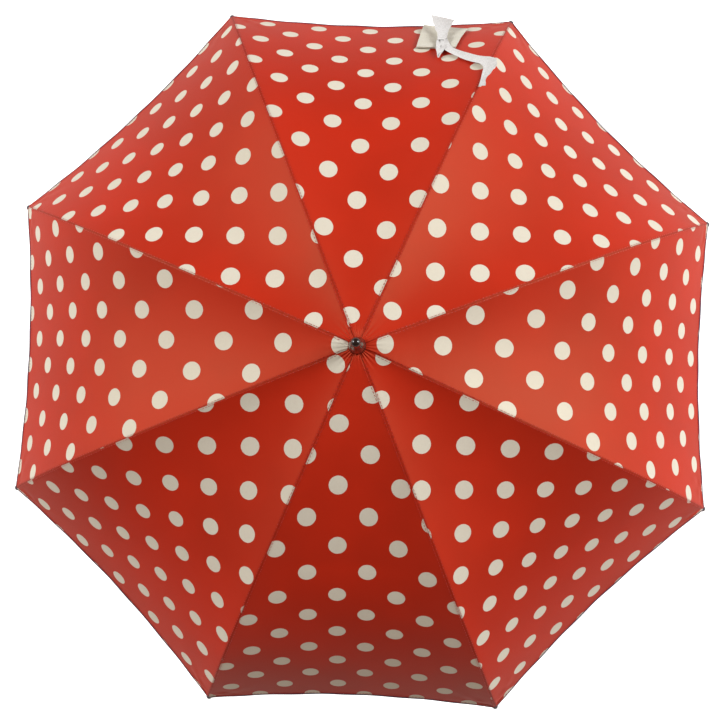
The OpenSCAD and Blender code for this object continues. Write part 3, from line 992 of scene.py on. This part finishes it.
class UMBRELLA_OT_card(bpy.types.Operator):
    """The blank folded strap at the hem and the ribbon knotted round it"""
    bl_idname = "umbrella.card"
    bl_label = "Strap and ribbon"

    def execute(self, context):
        c = Canopy(settings())
        parts = []
        for lift in (0.6, 1.5):
            parts.append((*strip(c, 3, [(342, -63), (356, -65.5), (370, -68), (385, -71), (399, -74)],
                                 [37.5, 39, 40, 41.5, 43], [lift + 0.3, lift, lift, lift + 0.3, lift + 1.0],
                                 0.5, wave=0.4, skew=7), 0))
        card = make("hem_strap", parts, [look("card")], 50)
        piece(card, "hem_3", "strap_cloth", "tie_strap")
        loops = [
            ([(359, -69), (372, -69), (386, -69), (400, -69)], [6, 11, 16, 22], [3.6, 5.6, 8.0, 12.5], 13),
            ([(369, -70), (362, -69), (354, -68)], [7, 10, 8], [4.6, 6.2, 4.4], 0),
            ([(364, -68.5), (350, -68), (334, -66.5), (318, -64.5)], [6, 10, 8, 1.5], [4, 3.4, 2.4, 1.6], 0),
            ([(358, -70), (337, -72.5), (323, -83), (312, -93), (304, -101), (297, -108), (288, -110),
              (277, -106), (267, -102.5), (256, -101)], [6, 9, 10, 11, 14, 15, 12, 8, 4, 6],
             [4.4, 2.4, 1.4, 1.2, 1.6, 2.4, 1.8, 1.0, 0.8, 1.2], 0),
        ]
        parts = []
        for k, (line, widths, lift, skew) in enumerate(loops):
            parts.append((*strip(c, 3, line, widths, lift, 0.2, wave=0.9 if k < 3 else 0.5, skew=skew), 0))
        ribbon = make("card_ribbon", parts, [look("ribbon")], 60)
        piece(ribbon, "hem_3", "ribbon_satin", "ribbon")
        for o in (card, ribbon):
            fold_flat(o)
        return {"FINISHED"}


# ---- floor, light and camera ------------------------------------------------------------

def lamp(name, at, to, size, power, colour=(1, 1, 1)):
    d = bpy.data.lights.new(name, "AREA")
    d.shape, d.size, d.energy, d.color = "DISK", size, power, colour
    o = bpy.data.objects.new(name, d)
    bpy.context.collection.objects.link(o)
    o.location = at
    o.rotation_euler = (Vector(to) - Vector(at)).to_track_quat("-Z", "Y").to_euler()
    return o


class UMBRELLA_OT_stage(bpy.types.Operator):
    """Pale floor, soft light and a camera over the ferrule"""
    bl_idname = "umbrella.stage"
    bl_label = "Stage"

    def execute(self, context):
        scene = context.scene

        def pale():
            cloud = noise(1.5, 3.0)
            return {"Base Color": mix(cloud.step(0.3, 0.7), (0.90, 0.90, 0.90), (0.92, 0.92, 0.92)),
                    "Roughness": 0.85 + cloud * 0.05, "Emission Strength": 0.8,
                    "Emission Color": mix(Shade.node("ShaderNodeLightPath", "Is Camera Ray"),
                                          (0.2, 0.13, 0.09), (1.0, 1.0, 1.0))}
        v = [(-7, -7, FLOOR), (7, -7, FLOOR), (7, 7, FLOOR), (-7, 7, FLOOR)]
        make("floor", [(v, [[0, 1, 2, 3]], 0)], [material("floor_pale", pale)])
        lamp("key", (2.45, 0.85, 1.95), (0, 0, 0.4), 1.3, 95, (0.97, 1, 1.02))
        lamp("side", (-2.45, 0.8, 1.95), (0, 0, 0.4), 1.3, 77, (0.97, 1, 1.01))
        scene.view_settings.view_transform = "Standard"
        world = bpy.data.worlds.new("studio")
        scene.world = world
        world.use_nodes = True
        Shade.tree = world.node_tree
        sky = world.node_tree.nodes["Background"]
        seen = Shade.node("ShaderNodeLightPath", "Is Camera Ray")
        Shade.put(sky.inputs[0], mix(seen, (1, 0.68, 0.5), (1, 1, 1)))
        Shade.put(sky.inputs[1], 0.16 + seen * 0.61)
        d = bpy.data.cameras.new("camera")
        cam = bpy.data.objects.new("camera", d)
        bpy.context.collection.objects.link(cam)
        scene.camera = cam
        d.lens, d.sensor_width = 45.1, 36
        d.clip_start, d.clip_end = 0.05, 30
        at = Vector((0.0165, -0.0365, 1.219))
        aim = Vector((0.0025, -0.011, 0.509))
        roll = math.radians(1.64)
        cam.location = at
        look_to = (aim - at).normalized()
        up = Vector((-math.sin(roll), math.cos(roll), 0))
        side = look_to.cross(up).normalized()
        up = side.cross(look_to)
        m = [[side[i], up[i], -look_to[i]] for i in range(3)]
        cam.rotation_mode = "QUATERNION"
        cam.rotation_quaternion = Matrix(m).to_quaternion()
        return {"FINISHED"}


class UMBRELLA_PT_panel(bpy.types.Panel):
    """Settings and build steps"""
    bl_label = "Umbrella"
    bl_idname = "UMBRELLA_PT_panel"
    bl_space_type = "VIEW_3D"
    bl_region_type = "UI"
    bl_category = "Umbrella"

    def draw(self, context):
        for name in UmbrellaSettings.__annotations__:
            self.layout.prop(context.scene.umbrella, name)
        for op in STEPS:
            self.layout.operator(op.bl_idname)


STEPS = (UMBRELLA_OT_canopy, UMBRELLA_OT_ribs, UMBRELLA_OT_crown, UMBRELLA_OT_shaft, UMBRELLA_OT_handle,
         UMBRELLA_OT_card, UMBRELLA_OT_stage)
CLASSES = (UmbrellaSettings, *STEPS, UMBRELLA_PT_panel)


def register():
    for c in CLASSES:
        bpy.utils.register_class(c)
    bpy.types.Scene.umbrella = bpy.props.PointerProperty(type=UmbrellaSettings)


def unregister():
    del bpy.types.Scene.umbrella
    for c in reversed(CLASSES):
        bpy.utils.unregister_class(c)


def main():
    register()
    for op in STEPS:
        group, name = op.bl_idname.split(".")
        getattr(getattr(bpy.ops, group), name)()


if __name__ == "__main__":
    main()
